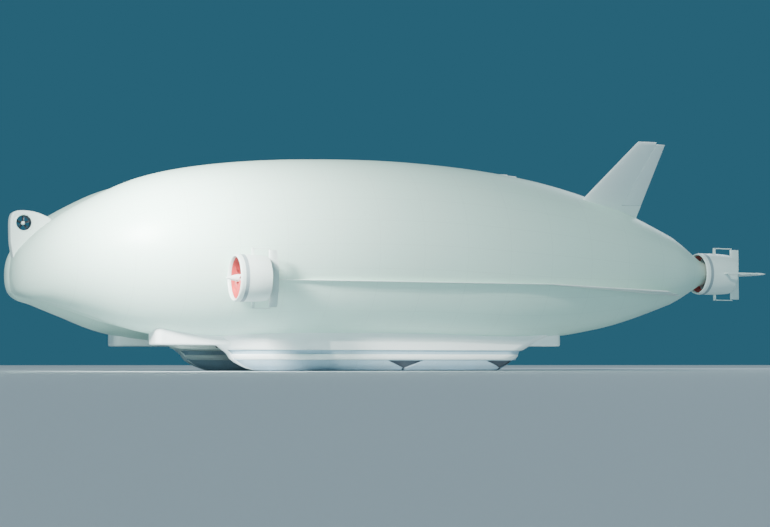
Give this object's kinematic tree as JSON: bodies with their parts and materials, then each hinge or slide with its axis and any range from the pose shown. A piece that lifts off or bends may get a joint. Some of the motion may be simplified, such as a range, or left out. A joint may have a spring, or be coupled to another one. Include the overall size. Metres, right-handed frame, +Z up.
{
  "type": "hybrid airship, 1:10 scale model",
  "caption": "Lobed hybrid airship parked on air-cushion skids, with ducted propellers, canted fins, side strakes, and a hollow cabin with a door and a rear ramp.",
  "frame": {"origin": "middle of the bounding box at floor level, under the landing skids", "axes": "+X from nose to tail, +Y to starboard, +Z up"},
  "size_m": [11.9, 5.9944, 3.5154],
  "materials": {
    "hull_fabric": "smooth coated laminate, satin white with a faint green cast",
    "painted_panel": "satin white paint on stiff panels",
    "skirt_fabric": "matte blue-grey coated skirt fabric",
    "blade_paint": "satin dull red",
    "dark_metal": "dark motor casing",
    "glazing": "dark tinted glazing"
  },
  "bodies": {
    "root": {"envelope": "hull_fabric", "bow_housing": "painted_panel", "bow_motor": "dark_metal", "flight_deck": "painted_panel", "flight_deck_glazing": "glazing", "payload_module": "painted_panel", "strake_port": "painted_panel", "strake_starboard": "painted_panel", "stabiliser_port": "painted_panel", "stabiliser_starboard": "painted_panel", "fin_port": "painted_panel", "fin_starboard": "painted_panel", "skid_deck_port": "painted_panel", "skid_deck_starboard": "painted_panel", "skid_skirt_port": "skirt_fabric", "skid_skirt_starboard": "skirt_fabric", "fore_duct_port": "painted_panel", "fore_duct_starboard": "painted_panel", "fore_pod_port": "dark_metal", "fore_pod_starboard": "dark_metal", "fore_pylon_port": "painted_panel", "fore_pylon_starboard": "painted_panel", "stern_duct_port": "painted_panel", "stern_duct_starboard": "painted_panel", "stern_pod_port": "dark_metal", "stern_pod_starboard": "dark_metal"},
    "fore_fan_port": {"fore_fan_port": "blade_paint"},
    "fore_fan_starboard": {"fore_fan_starboard": "blade_paint"},
    "stern_fan_port": {"stern_fan_port": "blade_paint"},
    "stern_fan_starboard": {"stern_fan_starboard": "blade_paint"},
    "bow_fan": {"bow_fan": "blade_paint"},
    "fore_vane_port": {"fore_vane_port": "painted_panel"},
    "fore_vane_starboard": {"fore_vane_starboard": "painted_panel"},
    "stern_rudder_vane_port": {"stern_rudder_vane_port": "painted_panel"},
    "stern_rudder_vane_starboard": {"stern_rudder_vane_starboard": "painted_panel"},
    "stern_level_vane_port": {"stern_level_vane_port": "painted_panel"},
    "stern_level_vane_starboard": {"stern_level_vane_starboard": "painted_panel"},
    "rudder_port": {"rudder_port": "painted_panel"},
    "rudder_starboard": {"rudder_starboard": "painted_panel"},
    "elevator_port": {"elevator_port": "painted_panel"},
    "elevator_starboard": {"elevator_starboard": "painted_panel"},
    "crew_door": {"crew_door": "painted_panel"},
    "cargo_ramp": {"cargo_ramp": "painted_panel"}
  },
  "joints": [
    {"name": "fore_fan_port_spin", "type": "hinge", "parent": "root", "child": "fore_fan_port", "pos_m": [-3.23, -2.67, 1.295], "axis": [1, 0, 0], "continuous": true},
    {"name": "fore_fan_starboard_spin", "type": "hinge", "parent": "root", "child": "fore_fan_starboard", "pos_m": [-3.23, 2.67, 1.295], "axis": [1, 0, 0], "continuous": true},
    {"name": "stern_fan_port_spin", "type": "hinge", "parent": "root", "child": "stern_fan_port", "pos_m": [5.1153, -1.6, 1.55], "axis": [1, 0, 0], "continuous": true},
    {"name": "stern_fan_starboard_spin", "type": "hinge", "parent": "root", "child": "stern_fan_starboard", "pos_m": [5.1153, 1.6, 1.55], "axis": [1, 0, 0], "continuous": true},
    {"name": "bow_fan_spin", "type": "hinge", "parent": "root", "child": "bow_fan", "pos_m": [-5.743, 0, 2.175], "axis": [0, 1, 0], "continuous": true},
    {"name": "fore_vane_port_turn", "type": "hinge", "parent": "root", "child": "fore_vane_port", "pos_m": [-2.815, -2.67, 1.295], "axis": [0, 0, 1], "range_deg": [-25, 25]},
    {"name": "fore_vane_starboard_turn", "type": "hinge", "parent": "root", "child": "fore_vane_starboard", "pos_m": [-2.815, 2.67, 1.295], "axis": [0, 0, 1], "range_deg": [-25, 25]},
    {"name": "stern_rudder_vane_port_turn", "type": "hinge", "parent": "root", "child": "stern_rudder_vane_port", "pos_m": [5.415, -1.6, 1.55], "axis": [0, 0, 1], "range_deg": [-25, 25]},
    {"name": "stern_rudder_vane_starboard_turn", "type": "hinge", "parent": "root", "child": "stern_rudder_vane_starboard", "pos_m": [5.415, 1.6, 1.55], "axis": [0, 0, 1], "range_deg": [-25, 25]},
    {"name": "stern_level_vane_port_turn", "type": "hinge", "parent": "root", "child": "stern_level_vane_port", "pos_m": [5.625, -1.6, 1.55], "axis": [0, 1, 0], "range_deg": [-20, 20]},
    {"name": "stern_level_vane_starboard_turn", "type": "hinge", "parent": "root", "child": "stern_level_vane_starboard", "pos_m": [5.625, 1.6, 1.55], "axis": [0, 1, 0], "range_deg": [-20, 20]},
    {"name": "rudder_port_turn", "type": "hinge", "parent": "root", "child": "rudder_port", "pos_m": [3.33235, -1.767, 2.6075], "axis": [0.1169, -0.6776, 0.726], "range_deg": [-25, 25]},
    {"name": "rudder_starboard_turn", "type": "hinge", "parent": "root", "child": "rudder_starboard", "pos_m": [3.33235, 1.767, 2.6075], "axis": [0.1169, 0.6776, 0.726], "range_deg": [-25, 25]},
    {"name": "elevator_port_turn", "type": "hinge", "parent": "root", "child": "elevator_port", "pos_m": [3.63276, -2.22565, 1.20649], "axis": [0.6597, 0.751, -0.0297], "range_deg": [-20, 20]},
    {"name": "elevator_starboard_turn", "type": "hinge", "parent": "root", "child": "elevator_starboard", "pos_m": [3.63276, 2.22565, 1.20649], "axis": [-0.6597, 0.751, 0.0297], "range_deg": [-20, 20]},
    {"name": "crew_door_swing", "type": "hinge", "parent": "root", "child": "crew_door", "pos_m": [-2.853, -0.2722, 0.42], "axis": [0, 0, -1], "range_deg": [0, 95]},
    {"name": "cargo_ramp_drop", "type": "hinge", "parent": "root", "child": "cargo_ramp", "pos_m": [0.065, 0, 0.13], "axis": [0, 1, 0], "range_deg": [0, 104]}
  ]
}
